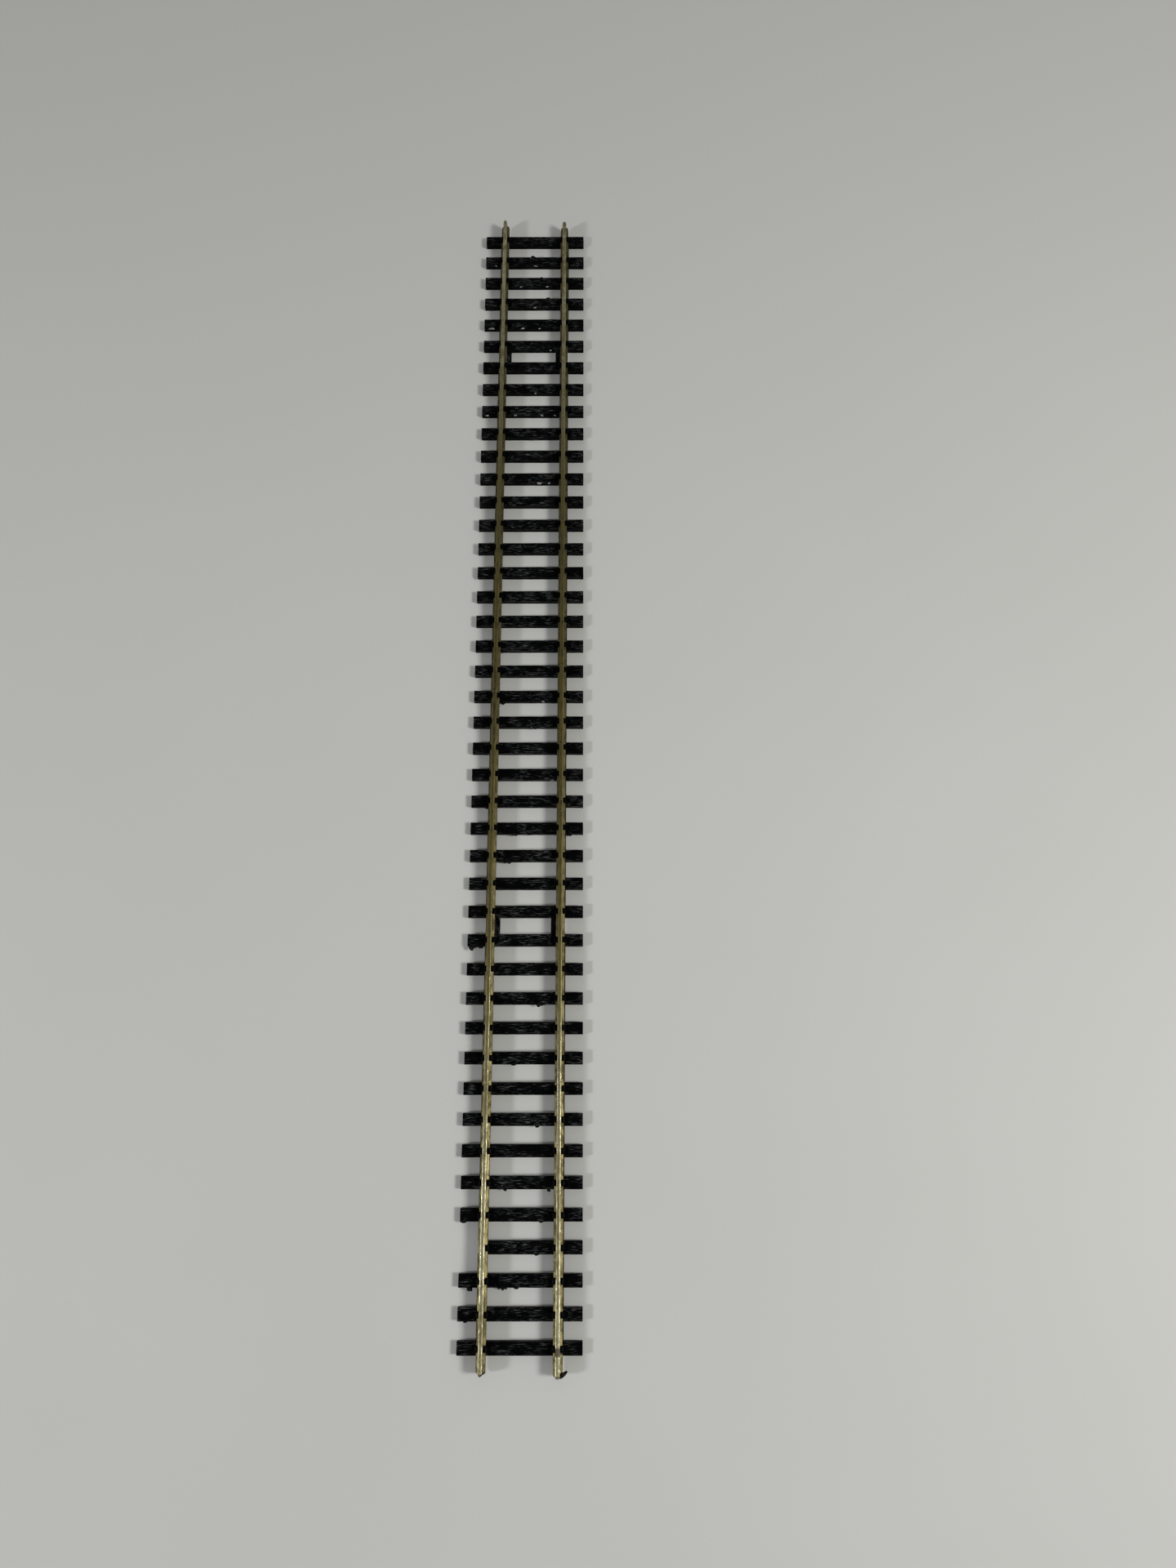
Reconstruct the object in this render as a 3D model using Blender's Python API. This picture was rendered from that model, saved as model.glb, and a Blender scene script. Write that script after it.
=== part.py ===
"""A length of model railway track, 16.5 mm gauge, cut from flexible track.

Two nickel silver rails lie on 43 moulded sleepers. Each sleeper holds both rails in two pairs of
clips, which reach over the rail's foot, so that the rails can slide lengthwise. Webs under the rails
join the sleepers of one moulding, and two pairs of link bars join one moulding to the next.
Sleeper 40 has lost its left end.

X runs across the track and Y along it, with sleeper 1 at the far end, +Y. Z is up, and the sleepers
stand on Z = 0. The origin is under the middle of the track's box.
"""

import math

import bmesh
import bpy

MM = 0.001

# Track
GAUGE = 16.5 * MM  # between the heads' inner sides
SLEEPER_COUNT = 43
PITCH = 7.2 * MM  # from one sleeper's centre to the next
CLEARANCE = 0.05 * MM  # between a rail and what holds it, and between two mouldings' faces

# Sleepers
SLEEPER_LENGTH = 29.0 * MM  # across the track
SLEEPER_WIDTH = 3.05 * MM  # along the track
SLEEPER_THICKNESS = 1.65 * MM
LAST_OF_MOULDING = (6, 29, SLEEPER_COUNT)
BROKEN_SLEEPER = 40
BREAK_FROM_RAIL_CENTRE = 0.5 * MM  # the break is this far outside the left rail's centre, under its head

# Webs under the rails
WEB_OUTSIDE_FOOT = 0.15 * MM
WEB_INSIDE_FOOT = -0.25 * MM  # the inner side stays hidden under the foot
WEB_TOP_DROP = 0.12 * MM  # below the sleeper's top
WEB_DEPTH = 0.95 * MM

# Link bars between two mouldings, just inside the rails
LINK_BAR_WIDTH = 1.3 * MM
LINK_BAR_FROM_RAIL_CENTRE = 1.75 * MM
LINK_BAR_TOP_DROP = 0.15 * MM
LINK_BAR_DEPTH = 1.1 * MM

# Rail section, with Z from the underside of the foot
RAIL_HEIGHT = 2.54 * MM
HEAD_WIDTH = 1.10 * MM
HEAD_SIDE_HEIGHT = 0.72 * MM  # from the running top to where the head's underside starts
HEAD_CORNER = 0.18 * MM
HEAD_CORNER_STEPS = 3
HEAD_UNDERSIDE_DROP = 0.18 * MM
RAIL_WEB_WIDTH = 0.60 * MM
FOOT_WIDTH = 2.25 * MM
FOOT_EDGE = 0.35 * MM
FOOT_RISE = 0.33 * MM  # of the foot's top, from its edge to the web

# Clips and chairs, with heights above the sleeper's top and distances from the rail's centre
CLIP_LENGTH = 1.45 * MM  # along the track
CLIP_LIP_INSET = 0.07 * MM  # from the head's side to the lip, seen from above
CLIP_LIP_THICKNESS = 0.36 * MM
CLIP_WALL = 0.50 * MM  # beside the foot
CLIP_SHOULDER = 0.55 * MM  # height of the clip's outer side
CHAIR_REACH = 0.75 * MM  # beyond the clip's wall
CHAIR_HEIGHT = 0.25 * MM
BED = 0.3 * MM  # how deep a clip is rooted in its sleeper, and a web in its sleeper's side

# Each rail's overhang past the centres of sleepers 1 and 43
OVERHANG = {
    ("left", "far"): 5.3 * MM,
    ("right", "far"): 4.7 * MM,
    ("left", "near"): 5.5 * MM,
    ("right", "near"): 5.9 * MM,
}

# Cut rail ends. Each taper is (half width at the tip, length, how far the cut foot stays short of the tip)
HEAD_TAPERS = {
    ("left", "far"): (0.33 * MM, 0.9 * MM, 0.0),
    ("right", "far"): (0.43 * MM, 0.7 * MM, 0.0),
    ("left", "near"): (0.18 * MM, 0.8 * MM, 0.0),
    ("right", "near"): (0.40 * MM, 0.5 * MM, 0.0),
}
FOOT_TAPERS = {
    ("left", "far"): (0.80 * MM, 0.7 * MM, 0.6 * MM),
    ("right", "far"): (0.98 * MM, 1.2 * MM, 0.6 * MM),
    ("left", "near"): (0.35 * MM, 0.9 * MM, 0.0),
    ("right", "near"): (0.75 * MM, 0.6 * MM, 0.0),
}
FOOT_CUT_TOP = 0.9 * MM  # the foot's cutters reach this high
HEAD_CUT_BOTTOM = 1.2 * MM  # and the head's come down to here
CUTTER_MARGIN = 1.0 * MM

SHARP_ANGLE = math.radians(32)  # edges at a larger angle are shaded sharp

SIDES = {"left": -1, "right": 1}
ENDS = {"far": 1, "near": -1}

RAIL_X = (GAUGE + HEAD_WIDTH) / 2
RAIL_BOTTOM = SLEEPER_THICKNESS + CLEARANCE
FAR_REACH = max(OVERHANG[side, "far"] for side in SIDES)
NEAR_REACH = max(OVERHANG[side, "near"] for side in SIDES)
SLEEPER_SPAN = (SLEEPER_COUNT - 1) * PITCH
FIRST_SLEEPER_Y = (SLEEPER_SPAN + FAR_REACH + NEAR_REACH) / 2 - FAR_REACH


def sleeper_y(number):
    """Y of a sleeper's centre. Sleeper 1 is the far one."""
    return FIRST_SLEEPER_Y - (number - 1) * PITCH


def material(name, colour, roughness, metallic):
    made = bpy.data.materials.new(name)
    made.use_nodes = True
    shader = made.node_tree.nodes["Principled BSDF"]
    shader.inputs["Base Color"].default_value = (*colour, 1.0)
    shader.inputs["Roughness"].default_value = roughness
    shader.inputs["Metallic"].default_value = metallic
    return made


def empty(name, location, collection, parent=None):
    made = bpy.data.objects.new(name, None)
    made.location = location
    made.parent = parent
    collection.objects.link(made)
    return made


def place(name, mesh, collection, location=(0.0, 0.0, 0.0)):
    made = bpy.data.objects.new(name, mesh)
    made.location = location
    collection.objects.link(made)
    return made


def box_mesh(name, low, high):
    """A box between two corners."""
    bm = bmesh.new()
    corners = bmesh.ops.create_cube(bm, size=1.0)["verts"]
    bmesh.ops.translate(bm, verts=corners, vec=(0.5, 0.5, 0.5))
    bmesh.ops.scale(bm, verts=corners, vec=[h - l for l, h in zip(low, high)])
    bmesh.ops.translate(bm, verts=corners, vec=low)
    mesh = bpy.data.meshes.new(name)
    bm.to_mesh(mesh)
    bm.free()
    return mesh


def evaluated_mesh(source, name):
    """The mesh that an object's modifiers or curve settings give."""
    graph = bpy.context.evaluated_depsgraph_get()
    mesh = bpy.data.meshes.new_from_object(source.evaluated_get(graph), depsgraph=graph)
    mesh.name = name
    return mesh


def outline_mesh(name, points, length, collection):
    """A flat outline in local X and Y, extruded by length about local Z = 0, as one closed mesh."""
    curve = bpy.data.curves.new(name, "CURVE")
    curve.dimensions = "2D"
    curve.fill_mode = "BOTH"
    curve.extrude = length / 2
    spline = curve.splines.new("POLY")
    spline.points.add(len(points) - 1)
    for point, (x, y) in zip(spline.points, points):
        point.co = (x, y, 0.0, 1.0)
    spline.use_cyclic_u = True
    outline = place(name, curve, collection)
    mesh = evaluated_mesh(outline, name)
    bpy.data.objects.remove(outline)
    bpy.data.curves.remove(curve)
    bm = bmesh.new()
    bm.from_mesh(mesh)
    bmesh.ops.remove_doubles(bm, verts=bm.verts, dist=CLEARANCE / 100)
    bmesh.ops.recalc_face_normals(bm, faces=bm.faces)
    bm.to_mesh(mesh)
    bm.free()
    return mesh


def shade(mesh):
    """Smooth where the surface is round, sharp at its edges."""
    mesh.shade_smooth()
    mesh.set_sharp_from_angle(angle=SHARP_ANGLE)


def combine(target, other, operation):
    """Adds a Boolean modifier that joins another object to the target or cuts it out."""
    modifier = target.modifiers.new(other.name, "BOOLEAN")
    modifier.operation = operation
    modifier.solver = "EXACT"
    modifier.object = other


def bake(target, helpers):
    """Replaces the target's mesh by what its modifiers make of it, and removes the helpers."""
    mesh = evaluated_mesh(target, target.data.name)
    target.modifiers.clear()
    target.data = mesh
    for helper in helpers:
        bpy.data.objects.remove(helper)
    return target


# Clips


def foot_top(distance):
    """Height of the foot's upper side at a distance from the rail's centre."""
    slope = FOOT_RISE / (FOOT_WIDTH / 2 - RAIL_WEB_WIDTH / 2)
    return FOOT_EDGE + (FOOT_WIDTH / 2 - distance) * slope


def clip_outline(side):
    """A clip with its chair in section, outside (+1) or inside (-1) a rail centred on X = 0."""
    lip = HEAD_WIDTH / 2 + CLIP_LIP_INSET
    wall = FOOT_WIDTH / 2 + CLEARANCE
    back = wall + CLIP_WALL
    lip_bottom = foot_top(lip) + 2 * CLEARANCE
    points = [
        (wall, -BED),
        (wall, FOOT_EDGE + 2 * CLEARANCE),
        (lip, lip_bottom),
        (lip, lip_bottom + CLIP_LIP_THICKNESS),
        (back, CLIP_SHOULDER),
        (back, CHAIR_HEIGHT),
        (back + CHAIR_REACH, CHAIR_HEIGHT),
        (back + CHAIR_REACH, -BED),
    ]
    return [(side * x, z) for x, z in points]


def add_clips(sleeper, collection):
    """Joins the four clips to a sleeper. Returns the clips' objects."""
    clips = []
    for rail_side in SIDES.values():
        for side in (-1, 1):
            name = f"clip_{len(clips)}"
            mesh = outline_mesh(name, clip_outline(side), CLIP_LENGTH, collection)
            clip = place(name, mesh, collection)
            clip.rotation_euler = (math.pi / 2, 0.0, 0.0)
            clip.location = (rail_side * RAIL_X, 0.0, SLEEPER_THICKNESS)
            combine(sleeper, clip, "UNION")
            clips.append(clip)
    return clips


# Sleepers


def add_webs(sleeper, collection):
    """Joins the webs that reach from a sleeper to the next one, towards the near end."""
    webs = []
    inner = RAIL_X - FOOT_WIDTH / 2 - WEB_INSIDE_FOOT
    outer = RAIL_X + FOOT_WIDTH / 2 + WEB_OUTSIDE_FOOT
    top = SLEEPER_THICKNESS - WEB_TOP_DROP
    start = -SLEEPER_WIDTH / 2 + BED
    end = -PITCH + SLEEPER_WIDTH / 2 + CLEARANCE
    for side in SIDES.values():
        low_x, high_x = sorted((side * inner, side * outer))
        mesh = box_mesh("web", (low_x, end, top - WEB_DEPTH), (high_x, start, top))
        web = place(f"web_{len(webs)}", mesh, collection)
        combine(sleeper, web, "UNION")
        webs.append(web)
    return webs


def break_off(sleeper, collection):
    """Cuts off the sleeper's left end, outside the middle of the left rail's foot."""
    edge = -RAIL_X - BREAK_FROM_RAIL_CENTRE
    low = (-SLEEPER_LENGTH / 2 - CUTTER_MARGIN, -SLEEPER_WIDTH / 2 - CLEARANCE, -CUTTER_MARGIN)
    high = (edge, SLEEPER_WIDTH / 2 + CLEARANCE, SLEEPER_THICKNESS + CUTTER_MARGIN * 2)
    cutter = place("break", box_mesh("break", low, high), collection)
    combine(sleeper, cutter, "DIFFERENCE")
    return [cutter]


def sleeper_mesh(name, collection, webs, broken):
    """A sleeper centred on X = Y = 0, standing on Z = 0, with its clips and webs."""
    low = (-SLEEPER_LENGTH / 2, -SLEEPER_WIDTH / 2, 0.0)
    high = (SLEEPER_LENGTH / 2, SLEEPER_WIDTH / 2, SLEEPER_THICKNESS)
    sleeper = place(name, box_mesh(name, low, high), collection)
    helpers = add_clips(sleeper, collection)
    if webs:
        helpers += add_webs(sleeper, collection)
    if broken:
        helpers += break_off(sleeper, collection)
    bake(sleeper, helpers)
    mesh = sleeper.data
    bpy.data.objects.remove(sleeper)
    return mesh


def add_sleepers(collection, base, plastic):
    plain = sleeper_mesh("sleeper", collection, webs=True, broken=False)
    last = sleeper_mesh("sleeper_at_moulding_end", collection, webs=False, broken=False)
    broken = sleeper_mesh("sleeper_broken", collection, webs=True, broken=True)
    for mesh in (plain, last, broken):
        shade(mesh)
        mesh.materials.clear()
        mesh.materials.append(plastic)
    for number in range(1, SLEEPER_COUNT + 1):
        mesh = last if number in LAST_OF_MOULDING else plain
        if number == BROKEN_SLEEPER:
            mesh = broken
        sleeper = place(f"sleeper_{number:02d}", mesh, collection, (0.0, sleeper_y(number), 0.0))
        sleeper.parent = base


def add_link_bars(collection, base, plastic):
    """The bars that join one moulding's last sleeper to the next moulding's first."""
    length = PITCH - SLEEPER_WIDTH - 2 * CLEARANCE
    top = SLEEPER_THICKNESS - LINK_BAR_TOP_DROP
    low = (-LINK_BAR_WIDTH / 2, -length / 2, top - LINK_BAR_DEPTH)
    high = (LINK_BAR_WIDTH / 2, length / 2, top)
    mesh = box_mesh("link_bar", low, high)
    mesh.materials.append(plastic)
    for end, last in zip(ENDS, LAST_OF_MOULDING):
        for side_name, side in SIDES.items():
            x = side * (RAIL_X - LINK_BAR_FROM_RAIL_CENTRE)
            location = (x, sleeper_y(last) - PITCH / 2, 0.0)
            bar = place(f"link_bar_{end}_{side_name}", mesh, collection, location)
            bar.parent = base


# Rails


def rail_outline():
    """The rail's section, centred on X = 0, with the underside of the foot at Y = 0."""
    head = HEAD_WIDTH / 2
    web = RAIL_WEB_WIDTH / 2
    head_bottom = RAIL_HEIGHT - HEAD_SIDE_HEIGHT
    half = [
        (FOOT_WIDTH / 2, 0.0),
        (FOOT_WIDTH / 2, FOOT_EDGE),
        (web, FOOT_EDGE + FOOT_RISE),
        (web, head_bottom - HEAD_UNDERSIDE_DROP),
        (head, head_bottom),
    ]
    for step in range(HEAD_CORNER_STEPS + 1):
        angle = step / HEAD_CORNER_STEPS * math.pi / 2
        x = head - HEAD_CORNER + HEAD_CORNER * math.cos(angle)
        y = RAIL_HEIGHT - HEAD_CORNER + HEAD_CORNER * math.sin(angle)
        half.append((x, y))
    return half + [(-x, y) for x, y in reversed(half)]


def taper_outline(tip_y, end, side, full_half, taper):
    """Plan of what a taper takes off one side of a rail's end. The rail is centred on X = 0."""
    tip_half, length, setback = taper
    outside = full_half + CUTTER_MARGIN
    past = tip_y + end * CUTTER_MARGIN
    cut = tip_y - end * setback
    back = cut - end * length
    inside = tip_half
    points = [(full_half, back), (tip_half, cut)]
    if setback:
        inside = min(tip_half, RAIL_WEB_WIDTH / 2)
        points.append((inside, cut))
    points += [(inside, past), (outside, past), (outside, back)]
    return [(side * x, y) for x, y in points]


def add_end_cutters(rail, rail_side, end, tip_y, cutters):
    """Cuts the tapers of one rail end out of its foot and its head."""
    foot_span = (-CUTTER_MARGIN, FOOT_CUT_TOP)
    head_span = (HEAD_CUT_BOTTOM, RAIL_HEIGHT + CUTTER_MARGIN)
    cuts = (
        ("foot", FOOT_TAPERS[rail_side, end], FOOT_WIDTH / 2, foot_span),
        ("head", HEAD_TAPERS[rail_side, end], HEAD_WIDTH / 2, head_span),
    )
    for part, taper, full_half, (bottom, top) in cuts:
        for side_name, side in SIDES.items():
            name = f"{rail_side}_{end}_{part}_{side_name}_cutter"
            outline = taper_outline(tip_y, ENDS[end], side, full_half, taper)
            mesh = outline_mesh(name, outline, top - bottom, cutters)
            cutter = place(name, mesh, cutters)
            cutter.location = (rail.location.x, 0.0, RAIL_BOTTOM + (bottom + top) / 2)
            cutter.hide_render = True
            cutter.display_type = "WIRE"
            combine(rail, cutter, "DIFFERENCE")


def add_rail(side_name, collection, cutters, slide, metal):
    """A rail that lies along Y, with its origin on its slide's axis."""
    far = sleeper_y(1) + OVERHANG[side_name, "far"]
    near = sleeper_y(SLEEPER_COUNT) - OVERHANG[side_name, "near"]
    name = f"rail_{side_name}"
    mesh = outline_mesh(name, rail_outline(), far - near, collection)
    shade(mesh)
    mesh.materials.append(metal)
    rail = place(name, mesh, collection, (SIDES[side_name] * RAIL_X, (far + near) / 2, RAIL_BOTTOM))
    rail.rotation_euler = (math.pi / 2, 0.0, 0.0)
    for end, tip_y in (("far", far), ("near", near)):
        add_end_cutters(rail, side_name, end, tip_y, cutters)
    bpy.context.view_layer.update()
    rail.parent = slide
    rail.matrix_parent_inverse = slide.matrix_world.inverted()


def main():
    for old in list(bpy.data.objects):
        bpy.data.objects.remove(old)
    track = bpy.data.collections.new("model_railway_track")
    cutters = bpy.data.collections.new("cutters")
    for collection in (track, cutters):
        bpy.context.scene.collection.children.link(collection)

    plastic = material("sleeper_plastic", (0.012, 0.012, 0.014), 0.42, 0.0)
    metal = material("nickel_silver", (0.34, 0.31, 0.22), 0.38, 1.0)

    base = empty("sleeper_base", (0.0, 0.0, 0.0), track)
    add_sleepers(track, base, plastic)
    add_link_bars(track, base, plastic)
    for side_name, side in SIDES.items():
        slide = empty(f"{side_name}_rail_slide", (side * RAIL_X, 0.0, RAIL_BOTTOM), track, base)
        add_rail(side_name, track, cutters, slide, metal)


main()
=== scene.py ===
"""The looks of a length of model railway track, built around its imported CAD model.

Everything is in metres in the CAD frame: X across the track, Y along it with sleeper 1 at the far end, +Y, Z up.
"""

import math

import bmesh
import bpy
import numpy as np
from mathutils import Euler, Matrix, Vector


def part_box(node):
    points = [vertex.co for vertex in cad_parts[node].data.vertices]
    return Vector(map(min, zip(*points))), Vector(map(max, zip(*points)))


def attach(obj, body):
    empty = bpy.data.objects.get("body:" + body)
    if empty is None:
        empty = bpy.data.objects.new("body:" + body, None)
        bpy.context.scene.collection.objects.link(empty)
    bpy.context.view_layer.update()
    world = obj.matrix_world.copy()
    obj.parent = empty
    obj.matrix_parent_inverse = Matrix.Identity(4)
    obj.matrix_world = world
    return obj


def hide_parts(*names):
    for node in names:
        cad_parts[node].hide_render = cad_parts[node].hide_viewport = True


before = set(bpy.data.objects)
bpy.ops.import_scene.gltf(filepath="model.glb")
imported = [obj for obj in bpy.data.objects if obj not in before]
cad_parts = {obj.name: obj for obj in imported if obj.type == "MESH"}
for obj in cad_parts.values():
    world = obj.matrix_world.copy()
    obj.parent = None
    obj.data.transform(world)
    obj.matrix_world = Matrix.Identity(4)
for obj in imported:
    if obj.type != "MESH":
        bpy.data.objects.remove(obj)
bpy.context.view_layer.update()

MM = 0.001

# Track, as in the CAD model
SLEEPER_COUNT = 43
SLEEPER_HALF_WIDTH = 3.05 * MM / 2
SLEEPER_HALF_LENGTH = 14.5 * MM
SLEEPER_TOP = 1.65 * MM
BROKEN_SLEEPER = 40
LAST_OF_MOULDING = (6, 29, 43)
RAIL_X = 8.8 * MM
RAIL_BOTTOM = 1.70 * MM
SIDES = {"left": -1, "right": 1}

BASE_BODY = "sleeper_base"
RAIL_BODIES = {"left": "left_rail", "right": "right_rail"}

SHARP_ANGLE = math.radians(38)

# A point this close to a box's face lies on it
TOUCHING = 1e-7

# Noise cells, in metres, for an axis along which the noise stays the same, or hardly changes
STILL = 9.0
SLOW = 1.0


# Random values

def lattice(cells, offset, seed):
    """A repeatable random value from 0 to 1 for each whole-numbered cell."""
    n = (cells[:, 0] + offset[0]).astype(np.uint64) * np.uint64(73856093)
    n ^= (cells[:, 1] + offset[1]).astype(np.uint64) * np.uint64(19349663)
    n ^= (cells[:, 2] + offset[2]).astype(np.uint64) * np.uint64(83492791)
    n ^= np.uint64((seed + 1) * 2654435761 % 2**32)
    n &= np.uint64(0xFFFFFFFF)
    for _ in range(2):
        n ^= n >> np.uint64(15)
        n = (n * np.uint64(2246822519)) & np.uint64(0xFFFFFFFF)
        n ^= n >> np.uint64(13)
    return n.astype(float) / 2**32


def noise(points, cell, seed):
    """Smooth random values from -1 to 1 at points, with bumps about as large as cell."""
    scaled = np.asarray(points, float) / np.asarray(cell, float)
    cells = np.floor(scaled).astype(np.int64)
    part = scaled - cells
    part = part * part * (3 - 2 * part)
    total = np.zeros(len(scaled))
    for dx in (0, 1):
        for dy in (0, 1):
            for dz in (0, 1):
                weight = np.ones(len(scaled))
                for axis, step in enumerate((dx, dy, dz)):
                    weight *= part[:, axis] if step else 1 - part[:, axis]
                total += weight * lattice(cells, (dx, dy, dz), seed)
    return total * 2 - 1


def noise_from_zero(points, cell, seed):
    """The same noise, but from 0 to 1."""
    return 0.5 + 0.5 * noise(points, cell, seed)


# Meshes

def mesh_from(name, points, faces):
    mesh = bpy.data.meshes.new(name)
    mesh.from_pydata([tuple(p) for p in points], [], faces)
    mesh.validate()
    return mesh


def set_material(mesh, material):
    mesh.materials.clear()
    mesh.materials.append(material)


def make_piece(name, mesh, material):
    piece = bpy.data.objects.new(name, mesh)
    bpy.context.scene.collection.objects.link(piece)
    set_material(mesh, material)
    return piece


def shade(mesh, angle=SHARP_ANGLE):
    mesh.polygons.foreach_set("use_smooth", np.ones(len(mesh.polygons), bool))
    mesh.set_sharp_from_angle(angle=angle)


def recalculated(mesh):
    bm = bmesh.new()
    bm.from_mesh(mesh)
    bmesh.ops.recalc_face_normals(bm, faces=bm.faces)
    bm.to_mesh(mesh)
    bm.free()
    return mesh


def joined(parts):
    """Points and faces of several (points, faces) shells as one."""
    points, faces, start = [], [], 0
    for part_points, part_faces in parts:
        points.extend(part_points)
        faces.extend([[start + i for i in face] for face in part_faces])
        start += len(part_points)
    return points, faces


def apply_modifiers(piece):
    """Replaces a piece's mesh by what its modifiers make of it."""
    graph = bpy.context.evaluated_depsgraph_get()
    mesh = bpy.data.meshes.new_from_object(piece.evaluated_get(graph), depsgraph=graph)
    piece.modifiers.clear()
    old = piece.data
    mesh.name = old.name
    piece.data = mesh
    bpy.data.meshes.remove(old)


def unite(piece, tools):
    """Adds closed solids to a piece, one after another, and leaves it as one closed mesh."""
    for points, faces in tools:
        tool = bpy.data.objects.new("tool", recalculated(mesh_from("tool", points, faces)))
        bpy.context.scene.collection.objects.link(tool)
        union = piece.modifiers.new("union", "BOOLEAN")
        union.operation = "UNION"
        union.solver = "MANIFOLD"
        union.object = tool
        apply_modifiers(piece)
        tool_mesh = tool.data
        bpy.data.objects.remove(tool)
        bpy.data.meshes.remove(tool_mesh)


def eased(low, high, count, edge, edge_steps):
    """Values from low to high, evenly spaced, with more of them within edge of either end."""
    inner = np.linspace(low + edge, high - edge, count)
    rise = edge * (1 - np.cos(np.linspace(0, math.pi / 2, edge_steps + 1)))
    return np.concatenate([low + rise[:-1], inner, (high - rise[:-1])[::-1]])


def rounding_levels(low, high, radius, count):
    """Heights from low to high: count of them up to the rounded upper edge, and three more over it."""
    over_edge = np.sin(np.linspace(0, math.pi / 2, 4))[1:]
    return np.concatenate([np.linspace(low, high - radius, count), high - radius + radius * over_edge])


def bands(rings, count):
    """The faces between rings of count points each."""
    faces = []
    for ring in range(rings - 1):
        for k in range(count):
            a, b = ring * count + k, ring * count + (k + 1) % count
            faces.append([a, b, b + count, a + count])
    return faces


def closed_bands(rings, count):
    """The same, with one face across the first ring and one across the last."""
    caps = [list(range(count))[::-1], [(rings - 1) * count + k for k in range(count)]]
    return bands(rings, count) + caps


def block(xs, ys, zs):
    """The surface of a box as a grid of points and faces, with one face below."""
    nx, ny, nz = len(xs), len(ys), len(zs)
    rim = [(i, 0) for i in range(nx - 1)] + [(nx - 1, j) for j in range(ny - 1)]
    rim += [(i, ny - 1) for i in range(nx - 1, 0, -1)] + [(0, j) for j in range(ny - 1, 0, -1)]
    count = len(rim)
    points = [(xs[i], ys[j], z) for z in zs for i, j in rim]
    top = {cell: (nz - 1) * count + k for k, cell in enumerate(rim)}
    for i in range(1, nx - 1):
        for j in range(1, ny - 1):
            top[i, j] = len(points)
            points.append((xs[i], ys[j], zs[-1]))
    faces = [list(range(count))[::-1]] + bands(nz, count)
    for i in range(nx - 1):
        for j in range(ny - 1):
            faces.append([top[i, j], top[i + 1, j], top[i + 1, j + 1], top[i, j + 1]])
    return np.array(points), faces


def rounded(points, low, high, radius):
    """A box's points with its upper and upright edges rounded. The edges below stay sharp."""
    low, high = np.array(low, float), np.array(high, float)
    well_below = -1.0
    inner = np.clip(points, low + (radius, radius, well_below), high - radius)
    out = points - inner
    size = np.linalg.norm(out, axis=1)
    far = size > radius
    out[far] *= (radius / size[far])[:, None]
    return inner + out


def press_in(points, flat, low, high, axis, depth):
    """Moves the points on a box's two faces across an axis inwards. flat holds where they lay on the box."""
    for on_face, inward in ((flat[:, axis] < low[axis] + TOUCHING, 1), (flat[:, axis] > high[axis] - TOUCHING, -1)):
        points[on_face, axis] += inward * depth[on_face]


# Materials

def new_material(name):
    material = bpy.data.materials.new(name)
    material.use_nodes = True
    tree = material.node_tree
    return material, tree, tree.nodes["Principled BSDF"]


def object_coordinates(tree):
    return tree.nodes.new("ShaderNodeTexCoord").outputs["Object"]


def stretched(tree, vector, scale, offset=(0.0, 0.0, 0.0)):
    """The vector multiplied by scale, then moved by offset."""
    node = tree.nodes.new("ShaderNodeMapping")
    node.inputs["Scale"].default_value = scale
    node.inputs["Location"].default_value = offset
    tree.links.new(vector, node.inputs["Vector"])
    return node.outputs["Vector"]


def texture_noise(tree, vector, scale, detail, roughness=0.5, offset=(0.0, 0.0, 0.0)):
    """Noise with scale repeats per metre along X, Y and Z."""
    node = tree.nodes.new("ShaderNodeTexNoise")
    node.inputs["Scale"].default_value = 1.0
    node.inputs["Detail"].default_value = detail
    node.inputs["Roughness"].default_value = roughness
    tree.links.new(stretched(tree, vector, scale, offset), node.inputs["Vector"])
    return node.outputs[0]


def texture_cells(tree, vector, scale):
    """The distance to the nearest of scattered points, with scale points per metre."""
    node = tree.nodes.new("ShaderNodeTexVoronoi")
    node.inputs["Scale"].default_value = 1.0
    tree.links.new(stretched(tree, vector, scale), node.inputs["Vector"])
    return node.outputs["Distance"]


def remapped(tree, value, low, high, to_low=0.0, to_high=1.0):
    """A smooth step of value: to_low at low and to_high at high. low may be the greater of the two."""
    node = tree.nodes.new("ShaderNodeMapRange")
    node.interpolation_type = "SMOOTHSTEP"
    tree.links.new(value, node.inputs["Value"])
    node.inputs["From Min"].default_value = low
    node.inputs["From Max"].default_value = high
    node.inputs["To Min"].default_value = to_low
    node.inputs["To Max"].default_value = to_high
    return node.outputs["Result"]


def calculated(tree, operation, a, b=None):
    """The result of a Math node. a is a socket, and b a socket or a number."""
    node = tree.nodes.new("ShaderNodeMath")
    node.operation = operation
    tree.links.new(a, node.inputs[0])
    if isinstance(b, (int, float)):
        node.inputs[1].default_value = b
    elif b is not None:
        tree.links.new(b, node.inputs[1])
    return node.outputs[0]


def multiplied(tree, value, *factors):
    for factor in factors:
        value = calculated(tree, "MULTIPLY", value, factor)
    return value


def added(tree, value, *terms):
    for term in terms:
        value = calculated(tree, "ADD", value, term)
    return value


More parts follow.
